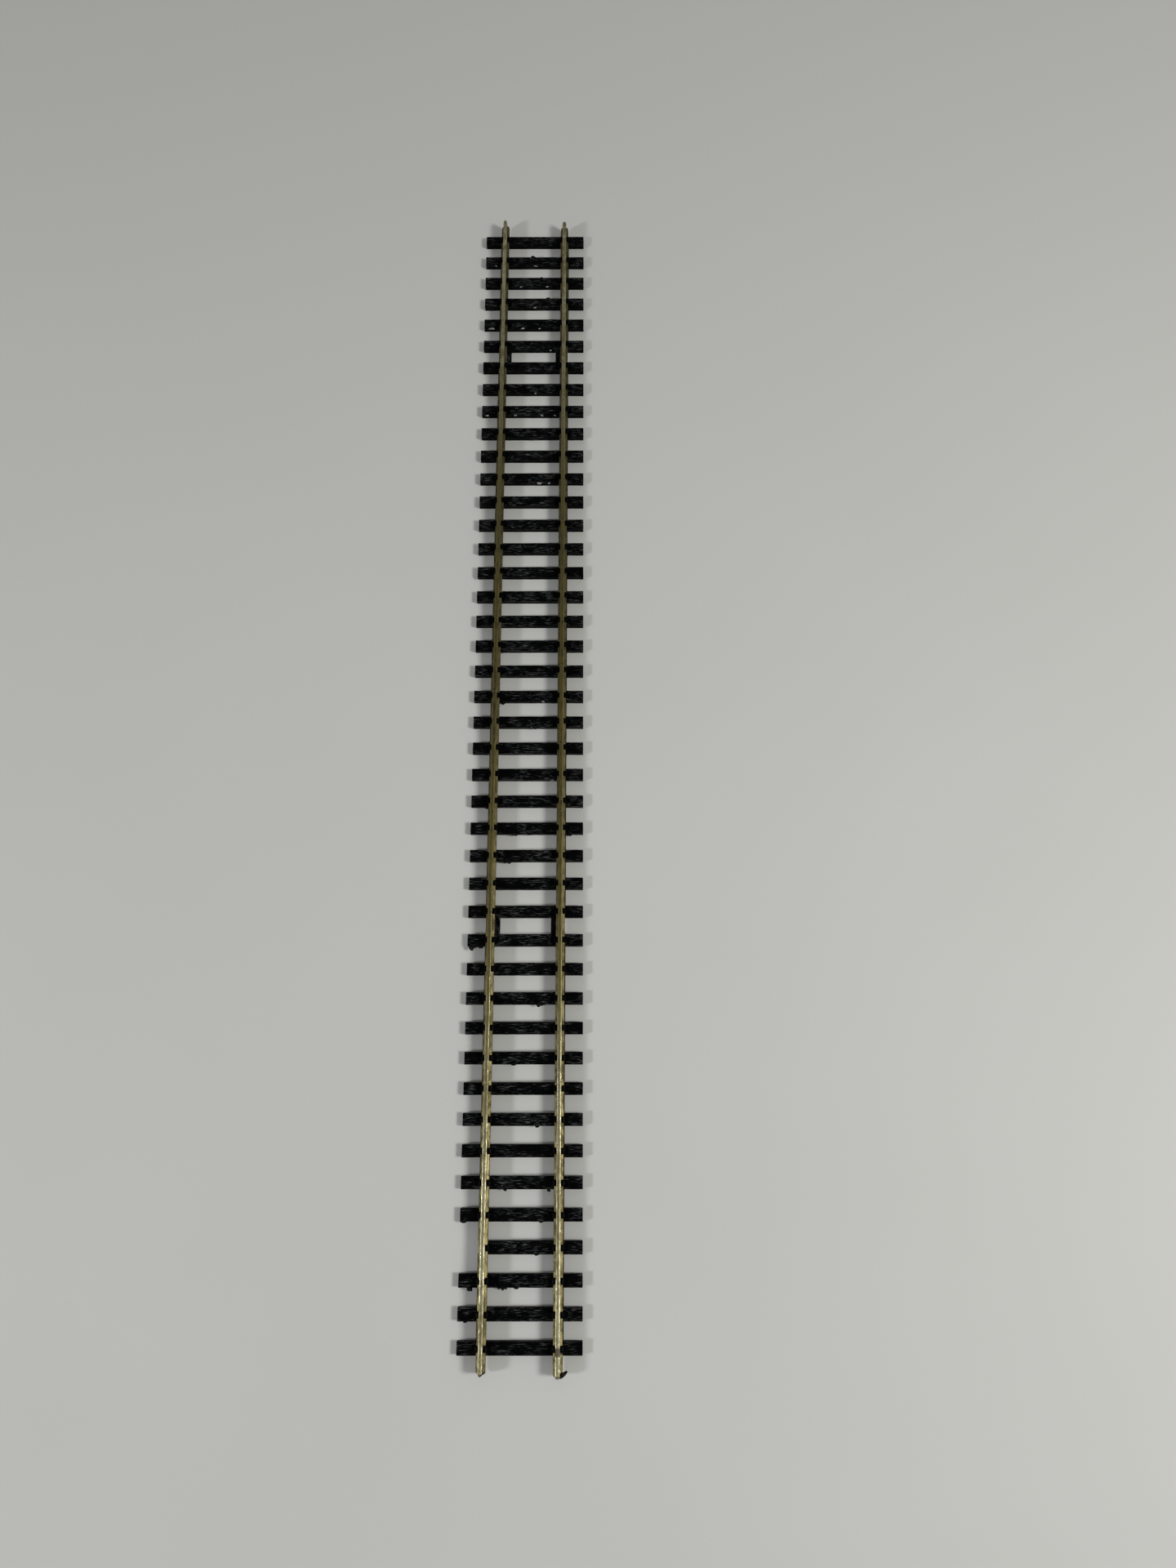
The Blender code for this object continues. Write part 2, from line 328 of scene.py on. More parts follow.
def mixed(tree, factor, a, b):
    """A mix of two colours, each a socket or three numbers. factor is how much of b there is."""
    node = tree.nodes.new("ShaderNodeMix")
    node.data_type = "RGBA"
    sockets = [s for s in node.inputs if s.type == "RGBA"]
    tree.links.new(factor, node.inputs["Factor"])
    for socket, value in zip(sockets, (a, b)):
        if isinstance(value, tuple):
            socket.default_value = (*value, 1.0)
        else:
            tree.links.new(value, socket)
    return next(s for s in node.outputs if s.type == "RGBA")


def bumped(tree, height, strength, distance, under=None):
    """A normal bent by height, on top of the normal under it where one is given."""
    node = tree.nodes.new("ShaderNodeBump")
    node.inputs["Strength"].default_value = strength
    node.inputs["Distance"].default_value = distance
    tree.links.new(height, node.inputs["Height"])
    if under is not None:
        tree.links.new(under, node.inputs["Normal"])
    return node.outputs["Normal"]


def split(tree, vector):
    node = tree.nodes.new("ShaderNodeSeparateXYZ")
    tree.links.new(vector, node.inputs[0])
    return node.outputs


# Plastic colours: the grain's low and high parts, painted highlights along the streaks, and specks of dust
PLASTIC_DARK = (0.0004, 0.0005, 0.0007)
PLASTIC_LIGHT = (0.0024, 0.0027, 0.0033)
PLASTIC_PAINTED_HIGHLIGHT = (0.098, 0.104, 0.104)
PLASTIC_DUST = (0.12, 0.12, 0.115)


def plastic_material(name, grain_scale, streak_scale):
    """Near-black moulded plastic. The grain runs along the piece, and so do the streaks of painted highlight on its
    top.
    """
    material, tree, shader = new_material(name)
    where = object_coordinates(tree)
    grain = texture_noise(tree, where, grain_scale, 4.0, 0.62)
    streaks = texture_noise(tree, where, streak_scale, 2.0, 0.55, (2.0, 6.0, 4.0))
    patches = texture_noise(tree, where, (230.0, 420.0, 420.0), 3.0, 0.6, (3.0, 1.0, 2.0))
    fine = texture_noise(tree, where, (5200.0, 9000.0, 9000.0), 2.0)
    specks = remapped(tree, texture_cells(tree, where, (1500.0, 2100.0, 2100.0)), 0.13, 0.05)
    few = texture_noise(tree, where, (420.0, 600.0, 600.0), 1.0, 0.5, (9.0, 4.0, 7.0))
    dust = multiplied(tree, specks, remapped(tree, few, 0.56, 0.66))
    # The grain's relief and the painted highlights show on the sleeper's top. They fade down the sides, and what
    # stands above the top has none
    height = split(tree, where)[2]
    on_top = multiplied(tree, remapped(tree, height, 1.0 * MM, 1.5 * MM, 0.25, 1.0),
                        remapped(tree, height, 1.74 * MM, 1.69 * MM))
    # Painted highlights: light-catching streaks painted into the colour, in patches, on the top
    painted_highlights = multiplied(tree, remapped(tree, streaks, 0.55, 0.68), remapped(tree, patches, 0.39, 0.58), on_top)
    colour = mixed(tree, remapped(tree, grain, 0.44, 0.68), PLASTIC_DARK, PLASTIC_LIGHT)
    colour = mixed(tree, painted_highlights, colour, PLASTIC_PAINTED_HIGHLIGHT)
    colour = mixed(tree, dust, colour, PLASTIC_DUST)
    tree.links.new(colour, shader.inputs["Base Color"])
    rough = added(tree, remapped(tree, patches, 0.35, 0.7, 0.50, 0.34), remapped(tree, fine, 0.3, 0.7, -0.05, 0.07))
    tree.links.new(rough, shader.inputs["Roughness"])
    shader.inputs["Specular IOR Level"].default_value = 0.025
    normal = bumped(tree, multiplied(tree, grain, on_top), 0.9, 0.13 * MM)
    normal = bumped(tree, multiplied(tree, streaks, on_top), 0.6, 0.08 * MM, normal)
    normal = bumped(tree, fine, 0.30, 0.02 * MM, normal)
    tree.links.new(normal, shader.inputs["Normal"])
    return material


# Rail colours. Where there are two, the streaks, or below the head the blotches, run between them
RAIL_METAL = (0.36, 0.330, 0.195), (0.61, 0.580, 0.405)
# The middle's olive is partly oxide and partly painted shade
RAIL_OLIVE_OXIDE_AND_SHADE = (0.135, 0.112, 0.030), (0.235, 0.200, 0.066)
RAIL_BELOW_HEAD = (0.150, 0.128, 0.058), (0.070, 0.058, 0.024)
RAIL_TARNISH = (0.195, 0.170, 0.080)
RAIL_PIT = (0.06, 0.048, 0.026)
RAIL_SMEAR = (0.115, 0.098, 0.072)
# Painted shade on the cut's right flank at the left rail's near end
RAIL_CUT_FLANK_SHADE = (0.020, 0.018, 0.014)


def rail_material():
    """Nickel silver that has yellowed: streaks along it, pits and tarnish, worn brighter on the running top, with
    painted shade over the middle of the length and on one cut flank.
    """
    material, tree, shader = new_material("rail_nickel_silver")
    where = object_coordinates(tree)
    x, y, z = split(tree, where)
    streaks = texture_noise(tree, where, (5600.0, 70.0, 5600.0), 5.0, 0.64)
    scratches = texture_noise(tree, where, (15000.0, 520.0, 15000.0), 2.0, 0.5, (5.0, 2.0, 1.0))
    blotches = texture_noise(tree, where, (900.0, 420.0, 900.0), 4.0, 0.66, (1.0, 7.0, 3.0))
    clouds = texture_noise(tree, where, (120.0, 60.0, 120.0), 2.0, 0.5, (4.0, 2.0, 8.0))
    speckle = texture_noise(tree, where, (2700.0, 1500.0, 2700.0), 4.0, 0.68, (8.0, 3.0, 5.0))
    dimples = texture_noise(tree, where, (3000.0, 1700.0, 3000.0), 5.0, 0.68, (6.0, 1.0, 4.0))
    holes = remapped(tree, texture_cells(tree, where, (2600.0, 1300.0, 2600.0)), 0.20, 0.06)
    some = texture_noise(tree, where, (700.0, 330.0, 700.0), 1.0, 0.5, (2.0, 5.0, 9.0))
    pits = multiplied(tree, holes, remapped(tree, some, 0.47, 0.60))
    running_top = remapped(tree, z, 3.75 * MM, 4.12 * MM)
    tarnish = added(tree, blotches, multiplied(tree, clouds, 0.45), multiplied(tree, speckle, 0.75))
    tarnish = remapped(tree, tarnish, 0.98, 1.24)
    # The middle of the length is darker and more olive than the two ends: partly oxide, partly painted shade for the
    # dark reflection there
    middle = multiplied(tree, remapped(tree, y, -98.0 * MM, -50.0 * MM), remapped(tree, y, 118.0 * MM, 55.0 * MM))
    # A dull smear on the right rail's head, over the last sleeper
    wavy_y = added(tree, y, multiplied(tree, blotches, 0.9 * MM))
    smear = multiplied(tree, remapped(tree, wavy_y, -151.75 * MM, -151.55 * MM),
                       remapped(tree, wavy_y, -149.7 * MM, -150.1 * MM), remapped(tree, x, 8.0 * MM, 8.2 * MM))
    # The left rail's near end was nipped off at a slant, and the cut's right flank is painted dark: painted shade on
    # that facet
    from_centre = added(tree, x, RAIL_X)
    from_tip = added(tree, y, 156.4 * MM)
    flank = calculated(tree, "SUBTRACT", multiplied(tree, from_centre, 0.42), from_tip)
    painted_flank_shade = multiplied(tree, remapped(tree, flank, -0.46 * MM, -0.36 * MM),
                        remapped(tree, x, -8.80 * MM, -8.70 * MM), remapped(tree, x, 1.0 * MM, 0.0))

    colour = mixed(tree, remapped(tree, streaks, 0.3, 0.72), *RAIL_METAL)
    colour = mixed(tree, multiplied(tree, tarnish, 0.85), colour, RAIL_TARNISH)
    # Painted shade, together with oxide, over the middle of the length
    oxide_and_shade = mixed(tree, remapped(tree, streaks, 0.32, 0.70), *RAIL_OLIVE_OXIDE_AND_SHADE)
    colour = mixed(tree, multiplied(tree, middle, 0.8), colour, oxide_and_shade)
    below = mixed(tree, remapped(tree, blotches, 0.35, 0.68), *RAIL_BELOW_HEAD)
    colour = mixed(tree, running_top, below, colour)
    colour = mixed(tree, multiplied(tree, pits, 0.85), colour, RAIL_PIT)
    colour = mixed(tree, multiplied(tree, smear, 0.9), colour, RAIL_SMEAR)
    # Painted shade on the cut's right flank
    colour = mixed(tree, multiplied(tree, painted_flank_shade, 0.92), colour, RAIL_CUT_FLANK_SHADE)
    tree.links.new(colour, shader.inputs["Base Color"])

    shader.inputs["Metallic"].default_value = 1.0
    rough = added(tree, remapped(tree, streaks, 0.3, 0.7, 0.34, 0.22), multiplied(tree, tarnish, 0.16),
                  remapped(tree, running_top, 0.0, 1.0, 0.14, 0.0), multiplied(tree, smear, 0.3))
    tree.links.new(rough, shader.inputs["Roughness"])
    normal = bumped(tree, streaks, 0.45, 0.035 * MM)
    normal = bumped(tree, scratches, 0.30, 0.014 * MM, normal)
    normal = bumped(tree, dimples, 0.70, 0.065 * MM, normal)
    normal = bumped(tree, blotches, 0.30, 0.05 * MM, normal)
    normal = bumped(tree, multiplied(tree, pits, -1.0), 0.6, 0.03 * MM, normal)
    tree.links.new(normal, shader.inputs["Normal"])
    return material


def residue_material(name, dark, light, roughness):
    """A dull, gritty, lumpy material."""
    material, tree, shader = new_material(name)
    where = object_coordinates(tree)
    lumps = texture_noise(tree, where, (3200.0, 3200.0, 3200.0), 4.0, 0.6)
    grit = texture_noise(tree, where, (14000.0, 14000.0, 14000.0), 2.0)
    tree.links.new(mixed(tree, remapped(tree, lumps, 0.4, 0.7), dark, light), shader.inputs["Base Color"])
    rough = remapped(tree, grit, 0.3, 0.7, roughness - 0.12, roughness + 0.1)
    tree.links.new(rough, shader.inputs["Roughness"])
    shader.inputs["Specular IOR Level"].default_value = 0.12
    normal = bumped(tree, lumps, 0.5, 0.1 * MM)
    tree.links.new(bumped(tree, grit, 0.5, 0.03 * MM, normal), shader.inputs["Normal"])
    return material


# Sheet colours: the low and high parts of its clouds, and the painted shade that darkens it towards the track's far
# half
SHEET_CLOUDS = (0.585, 0.592, 0.568), (0.620, 0.626, 0.608)
SHEET_FAR_PAINTED_SHADE = (0.570, 0.576, 0.556)


def sheet_material():
    """The pale sheet that the track lies on, painted darker towards the track's far half as painted shade."""
    material, tree, shader = new_material("pale_sheet")
    where = object_coordinates(tree)
    clouds = texture_noise(tree, where, (14.0, 14.0, 14.0), 3.0)
    fine = texture_noise(tree, where, (420.0, 420.0, 420.0), 3.0)
    along = split(tree, where)[1]
    # Painted shade: the sheet darkens towards the far half
    colour = mixed(tree, remapped(tree, along, -0.05, 0.25), mixed(tree, clouds, *SHEET_CLOUDS), SHEET_FAR_PAINTED_SHADE)
    tree.links.new(colour, shader.inputs["Base Color"])
    shader.inputs["Roughness"].default_value = 0.55
    shader.inputs["Specular IOR Level"].default_value = 0.3
    tree.links.new(bumped(tree, fine, 0.12, 0.05 * MM), shader.inputs["Normal"])
    return material


SLEEPER_MATERIAL = plastic_material("sleeper_plastic_grain", (210.0, 3600.0, 3600.0), (520.0, 7800.0, 7800.0))
BAR_MATERIAL = plastic_material("link_bar_plastic", (3600.0, 210.0, 3600.0), (7800.0, 520.0, 7800.0))
RAIL_MATERIAL = rail_material()
DARK_RESIDUE = residue_material("dark_residue", (0.0010, 0.0010, 0.0012), (0.010, 0.009, 0.008), 0.55)
BURR_MATERIAL = residue_material("cut_sliver", (0.006, 0.005, 0.004), (0.034, 0.029, 0.020), 0.45)
PALE_RESIDUE = residue_material("pale_residue", (0.20, 0.20, 0.19), (0.55, 0.55, 0.53), 0.5)

# Sleepers

EDGE = 0.11 * MM
TOP_GRAIN = 0.045 * MM
SIDE_GRAIN = 0.035 * MM
END_GRAIN = 0.05 * MM
RAGGED = 0.02 * MM

# The broken sleeper ends BREAK_AT outside the rail's centre, and the break is rough over BREAK_LENGTH
BREAK_AT = 0.5 * MM
BREAK_LENGTH = 0.6 * MM
BREAK_ROUGHNESS = 0.30 * MM

# A clip's jaw: distance from the rail's centre, and height above the sleeper's top, in mm
CLIP_OUTLINE = [
    (0.64, 0.70), (1.175, 0.485), (1.175, -0.30), (1.62, -0.30), (1.665, 0.30), (1.655, 0.50), (1.60, 0.62),
    (1.44, 0.77), (1.20, 0.92), (1.00, 1.005), (0.82, 1.045), (0.70, 1.035), (0.635, 0.97)]
CLIP_HALF_LENGTH = 0.725 * MM
# Where along the half length the jaw's outline is set, and what part of the upper part's rise, in mm, is kept there
CLIP_STEPS = [-1.0, -0.97, -0.88, -0.5, 0.0, 0.5, 0.88, 0.97, 1.0]
CLIP_KEPT = [0.86, 0.94, 1.0, 1.0, 1.0, 1.0, 1.0, 0.94, 0.86]
CLIP_RISE = 0.9
CLIP_UPPER_PART = 0.75 * MM

CHAIR_FROM = 1.30 * MM
CHAIR_TO = 2.42 * MM
CHAIR_HALF_WIDTH = 0.70 * MM
CHAIR_CORNER = 0.42 * MM
CHAIR_HEIGHT = 0.24 * MM
CHAIR_ROOT = 0.30 * MM
# Each chair sits up to half this, in mm, off its sleeper's middle
CHAIR_SHIFT = 0.06
# Height above the sleeper's top, and how far the outline is drawn in there
CHAIR_LEVELS = [(-CHAIR_ROOT, 0.0), (0.10 * MM, 0.0), (0.18 * MM, 0.03 * MM),
                (CHAIR_HEIGHT - 0.015 * MM, 0.08 * MM), (CHAIR_HEIGHT, 0.14 * MM)]

WEB_X = (7.925 * MM, 10.075 * MM)
WEB_BOTTOM = 0.58 * MM
WEB_TOP = 1.53 * MM
# A web reaches this far into its sleeper
WEB_OVERLAP = 0.3 * MM


def sleeper_y(number):
    """The middle of a sleeper. Its CAD box also holds its webs, which reach towards -Y."""
    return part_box(f"sleeper_{number:02d}")[1].y - SLEEPER_HALF_WIDTH


def clip(rail_x, side, y):
    """The jaw of one clip. side is 1 for the jaw on the +X side of the rail."""
    outline = [(rail_x + side * u * MM, SLEEPER_TOP + h * MM) for u, h in CLIP_OUTLINE][::-side]
    count = len(outline)
    points = np.array([(px, y + step * CLIP_HALF_LENGTH, pz) for step in CLIP_STEPS for px, pz in outline])
    # The upper part slopes down towards the jaw's ends
    for k, kept in enumerate(CLIP_KEPT):
        ring = points[k * count:(k + 1) * count]
        ring[ring[:, 2] > SLEEPER_TOP + CLIP_UPPER_PART, 2] -= (1 - kept) * CLIP_RISE * MM
    return points, closed_bands(len(CLIP_STEPS), count)


def chair(rail_x, side, y):
    """The chair's foot beyond a jaw: a low plate with a round end."""
    plan = [(CHAIR_FROM, -CHAIR_HALF_WIDTH)]
    for corner, start in ((-1, -90), (1, 0)):
        for step in range(7):
            angle = math.radians(start + 15 * step)
            plan.append((CHAIR_TO - CHAIR_CORNER + CHAIR_CORNER * math.cos(angle),
                         corner * (CHAIR_HALF_WIDTH - CHAIR_CORNER) + CHAIR_CORNER * math.sin(angle)))
    plan.append((CHAIR_FROM, CHAIR_HALF_WIDTH))
    centre = np.array([(CHAIR_FROM + CHAIR_TO) / 2, 0.0])
    points = []
    for height, inset in CHAIR_LEVELS:
        for u, v in plan:
            away = np.array([u, v]) - centre
            u, v = centre + away * (1 - inset / np.linalg.norm(away))
            points.append((rail_x + side * max(u, CHAIR_FROM), y + v, SLEEPER_TOP + height))
    return points, closed_bands(len(CHAIR_LEVELS), len(plan))


def web(rail_side, y_from, y_to, seed):
    """The web under a rail that joins a sleeper to the next one."""
    x_from, x_to = sorted(rail_side * x for x in WEB_X)
    points, faces = block(
        eased(x_from, x_to, 6, 0.06 * MM, 2), np.linspace(y_from, y_to, 16), np.linspace(WEB_BOTTOM, WEB_TOP, 5))
    uneven = (points[:, 1] < y_to - 0.2 * MM) & (points[:, 2] > WEB_BOTTOM + 0.1 * MM)
    points[uneven, 2] -= 0.03 * MM * (noise(points[uneven], (0.5 * MM, 0.7 * MM, SLOW), seed) + 1)
    return points, faces


def moulded_block(low, high, broken, seed):
    """A sleeper's body, with lengthwise grain on its top and sides."""
    flat, faces = block(
        eased(low[0], high[0], 92, EDGE, 3), eased(low[1], high[1], 21, EDGE, 3),
        rounding_levels(low[2], high[2], EDGE, 6))
    points = rounded(flat, low, high, EDGE)
    # Grooves of uneven depth, deeper in some parts of the sleeper than in others
    grooves = noise(flat, (2.6 * MM, 0.21 * MM, STILL), seed)
    grooves += 0.6 * noise(flat, (1.1 * MM, 0.13 * MM, STILL), seed + 1)
    strength = noise_from_zero(flat, (5.0 * MM, 1.4 * MM, STILL), seed + 2)
    depth = TOP_GRAIN * np.clip(grooves * 0.5 + 0.35, 0, 1) * (0.35 + 0.65 * strength)
    on_top = flat[:, 2] > high[2] - 0.5 * EDGE
    points[on_top, 2] -= depth[on_top]
    side_grain = SIDE_GRAIN * noise_from_zero(flat, (1.6 * MM, STILL, 0.34 * MM), seed + 3)
    ragged = RAGGED * noise_from_zero(flat, (0.35 * MM, STILL, 0.5 * MM), seed + 5)
    press_in(points, flat, low, high, 1, side_grain + ragged)
    end_grain = END_GRAIN * noise_from_zero(flat, (STILL, 0.3 * MM, 0.4 * MM), seed + 4)
    press_in(points, flat, low, high, 0, end_grain)
    if broken:
        close = np.clip(1 - (flat[:, 0] - low[0]) / BREAK_LENGTH, 0, 1)
        jag = noise(flat, (STILL, 0.55 * MM, 0.45 * MM), 901) + 0.5 * noise(flat, (STILL, 0.22 * MM, 0.2 * MM), 902)
        points[:, 0] += close * BREAK_ROUGHNESS * (0.62 + 0.6 * jag)
        points[:, 0] = np.maximum(points[:, 0], low[0])
    return points, faces


def sleeper(number):
    name = f"sleeper_{number:02d}"
    seed = number * 17
    centre = sleeper_y(number)
    # The left end of one sleeper has snapped off, and the clip and the chair outside the rail with it
    broken = number == BROKEN_SLEEPER
    low = (-RAIL_X - BREAK_AT if broken else -SLEEPER_HALF_LENGTH, centre - SLEEPER_HALF_WIDTH, 0.0)
    high = (SLEEPER_HALF_LENGTH, centre + SLEEPER_HALF_WIDTH, SLEEPER_TOP)
    piece = make_piece(f"{name}_moulded", mesh_from(name, *moulded_block(low, high, broken, seed)), SLEEPER_MATERIAL)
    chairs, jaws, webs = [], [], []
    for rail_side in SIDES.values():
        for side in SIDES.values():
            if broken and rail_side < 0 and side < 0:
                continue
            shift = lattice(np.array([[number, rail_side + 5, side + 5]]), (0, 0, 0), 7)[0] - 0.5
            chairs.append(chair(rail_side * RAIL_X, side, centre + shift * CHAIR_SHIFT * MM))
            jaws.append(clip(rail_side * RAIL_X, side, centre))
        if number not in LAST_OF_MOULDING:
            webs.append(web(rail_side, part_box(name)[0].y, low[1] + WEB_OVERLAP, seed + rail_side + 9))
    unite(piece, [joined(shells) for shells in (chairs, jaws, webs) if shells])
    shade(piece.data)
    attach(piece, BASE_BODY)
    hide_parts(name)


for sleeper_number in range(1, SLEEPER_COUNT + 1):
    sleeper(sleeper_number)

# Link bars

BAR_EDGE = 0.12 * MM
BAR_GRAIN = 0.035 * MM
BAR_SIDE_GRAIN = 0.03 * MM


def link_bar(name):
    low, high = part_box(name)
    flat, faces = block(
        eased(low.x, high.x, 9, BAR_EDGE, 3), eased(low.y, high.y, 30, 0.06 * MM, 2),
        rounding_levels(low.z, high.z, BAR_EDGE, 5))
    points = rounded(flat, low, high, BAR_EDGE)
    on_top = flat[:, 2] > high.z - 0.5 * BAR_EDGE
    points[on_top, 2] -= BAR_GRAIN * noise_from_zero(flat[on_top], (0.22 * MM, 1.6 * MM, STILL), 71)
    press_in(points, flat, low, high, 0, BAR_SIDE_GRAIN * noise_from_zero(flat, (STILL, 0.9 * MM, 0.4 * MM), 72))
    piece = make_piece(f"{name}_moulded", mesh_from(name, points, faces), BAR_MATERIAL)
    shade(piece.data)
    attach(piece, BASE_BODY)
    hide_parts(name)


for bar_name in ("link_bar_far_left", "link_bar_far_right", "link_bar_near_left", "link_bar_near_right"):
    link_bar(bar_name)

# Residue on the sleepers' edges

# Each cluster's sleeper, middle along X, length, and how far it stands out from the near edge, in mm.
# The last is negative where it sits on the far edge
DARK_CRUMBS = [
    (2, -0.5, 0.9, -0.35), (3, 2.0, 0.7, -0.35), (4, 4.0, 0.5, -0.25), (8, -3.2, 0.8, 0.2), (10, 0.9, 2.0, 0.40),
    (10, -6.8, 0.6, 0.3), (12, 1.0, 1.2, 0.3), (14, -3.4, 1.8, 0.35), (16, -13.2, 1.6, 0.45), (17, 3.0, 1.0, 0.25),
    (19, -6.9, 1.4, 0.6), (19, 6.6, 1.3, 0.5), (21, -7.0, 1.5, 0.65), (21, 0.6, 2.8, 0.30), (21, 3.1, 1.2, 0.35),
    (21, 7.0, 0.8, 0.5), (22, 1.5, 2.3, 0.35), (23, 2.5, 1.3, 0.2), (24, -0.2, 1.0, 0.25), (25, -10.3, 0.7, 0.4),
    (26, -3.0, 2.0, 0.35), (26, 0.9, 1.4, 0.25), (26, 10.9, 0.9, 0.5), (27, -4.7, 1.9, 0.35), (27, -1.5, 0.8, 0.2),
    (30, -13.2, 1.8, 0.65), (30, -11.2, 1.2, 0.4), (32, 4.2, 1.6, 0.35), (34, -2.4, 1.0, 0.2), (36, 3.4, 0.8, 0.2),
    (38, -4.2, 0.7, 0.3), (38, 6.4, 0.7, 0.45), (39, -13.6, 1.0, 0.2), (39, 4.5, 0.5, 0.2), (40, 3.8, 0.7, 0.2),
    (41, -11.7, 1.0, 0.45), (41, -4.2, 1.7, 0.35), (41, -1.0, 0.9, 0.15), (42, -12.6, 0.8, 0.2)]
PALE_CRUMBS = [
    (2, -11.4, 0.5, 0.10), (2, 0.4, 1.1, 0.12), (3, 3.7, 0.9, 0.15), (3, -4.0, 0.4, 0.08), (4, 0.2, 0.7, 0.10),
    (5, -12.3, 1.6, 0.14), (5, 1.6, 0.6, 0.12), (5, -3.2, 0.9, 0.10), (6, 5.0, 0.7, 0.15), (8, 0.7, 0.6, 0.18),
    (9, -13.0, 1.0, 0.15), (9, -5.0, 0.8, 0.16), (9, 2.7, 0.7, 0.22), (9, 6.4, 0.5, 0.20), (10, 1.2, 0.5, 0.42),
    (12, 2.2, 1.1, 0.28), (12, 4.9, 0.5, 0.2), (21, 3.9, 0.4, 0.2), (24, 6.5, 0.5, 0.2), (22, 0.6, 0.5, 0.2)]
# How far apart a cluster's lumps are, and how high their middles lie, in mm
LUMP_SPACING = 0.34
LUMP_HEIGHT = 1.38
RESIDUE_VOXEL = 0.055 * MM


def ball(centre, radii, seed):
    """A rough, closed lump."""
    bm = bmesh.new()
    bmesh.ops.create_icosphere(bm, subdivisions=3, radius=1.0)
    points = np.array([v.co[:] for v in bm.verts])
    faces = [[v.index for v in face.verts] for face in bm.faces]
    bm.free()
    swell = 1 + 0.42 * noise(points, 0.8, seed) + 0.26 * noise(points, 0.36, seed + 1)
    lean = noise(points, 1.1, seed + 2)
    bent = points * swell[:, None] + np.stack([0.35 * lean, -0.2 * lean, 0.25 * lean], 1)
    return np.array(centre) + bent * np.array(radii), faces


def crumbs(name, places, material, size, seed):
    """Clusters of lumps stuck along the sleepers' edges, as one mesh without inner faces."""
    parts = []
    for number, (row, x, length, out) in enumerate(places):
        edge = sleeper_y(row) - math.copysign(SLEEPER_HALF_WIDTH, out)
        count = max(2, round(length / LUMP_SPACING))
        shares = lattice(np.array([[number, k, row] for k in range(count * 4)]), (0, 0, 0), seed)
        for k in range(count):
            r1, r2, r3, r4 = shares[4 * k:4 * k + 4]
            from_middle = (k + 0.5) / count - 0.5
            along = (x + from_middle * length + (r1 - 0.5) * 0.2) * MM
            reach = 1.6 * abs(out) * (0.30 + 0.70 * r2) * (1 - 0.5 * abs(from_middle))
            radii = ((0.18 + 0.22 * r3) * MM * size, (reach * 0.55 + 0.12) * MM, (0.16 + 0.20 * r4) * MM * size)
            y = edge - math.copysign((reach * 0.5 - 0.07) * MM, out)
            z = (LUMP_HEIGHT + 0.24 * (r3 - 0.5) + 0.12 * r1) * MM
            parts.append(ball((along, y, z), radii, seed + number * 31 + k))
    piece = make_piece(name, mesh_from(name, *joined(parts)), material)
    skin = piece.modifiers.new("skin", "REMESH")
    skin.mode = "VOXEL"
    skin.voxel_size = RESIDUE_VOXEL
    apply_modifiers(piece)
    set_material(piece.data, material)
    shade(piece.data, math.radians(60))
    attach(piece, BASE_BODY)


crumbs("residue_dark", DARK_CRUMBS, DARK_RESIDUE, 1.0, 401)
crumbs("residue_pale", PALE_CRUMBS, PALE_RESIDUE, 0.62, 577)

# Rails

# Half of the section, in mm, from the middle of the running top down to the middle of the foot's underside.
# The head lies above HEAD_FROM, and the foot below FOOT_TO
RAIL_HEIGHT = 2.54
HALF_SECTION = [
    (0.0, RAIL_HEIGHT), (0.18, 2.538), (0.33, 2.530), (0.415, 2.508), (0.475, 2.468), (0.520, 2.41), (0.545, 2.34),
    (0.55, 2.24), (0.55, 2.04), (0.55, 1.87), (0.540, 1.825), (0.505, 1.795), (0.42, 1.735), (0.345, 1.68),
    (0.310, 1.63), (0.30, 1.56), (0.30, 1.38), (0.30, 1.18), (0.30, 0.98), (0.307, 0.86), (0.335, 0.775),
    (0.40, 0.715), (0.50, 0.668), (0.70, 0.585), (0.90, 0.497), (1.04, 0.425), (1.09, 0.388), (1.117, 0.345),
    (1.125, 0.29), (1.125, 0.18), (1.125, 0.07), (1.108, 0.022), (1.065, 0.0), (0.75, 0.0), (0.38, 0.0), (0.0, 0.0)]
HEAD_FROM = 1.2
FOOT_TO = 0.95

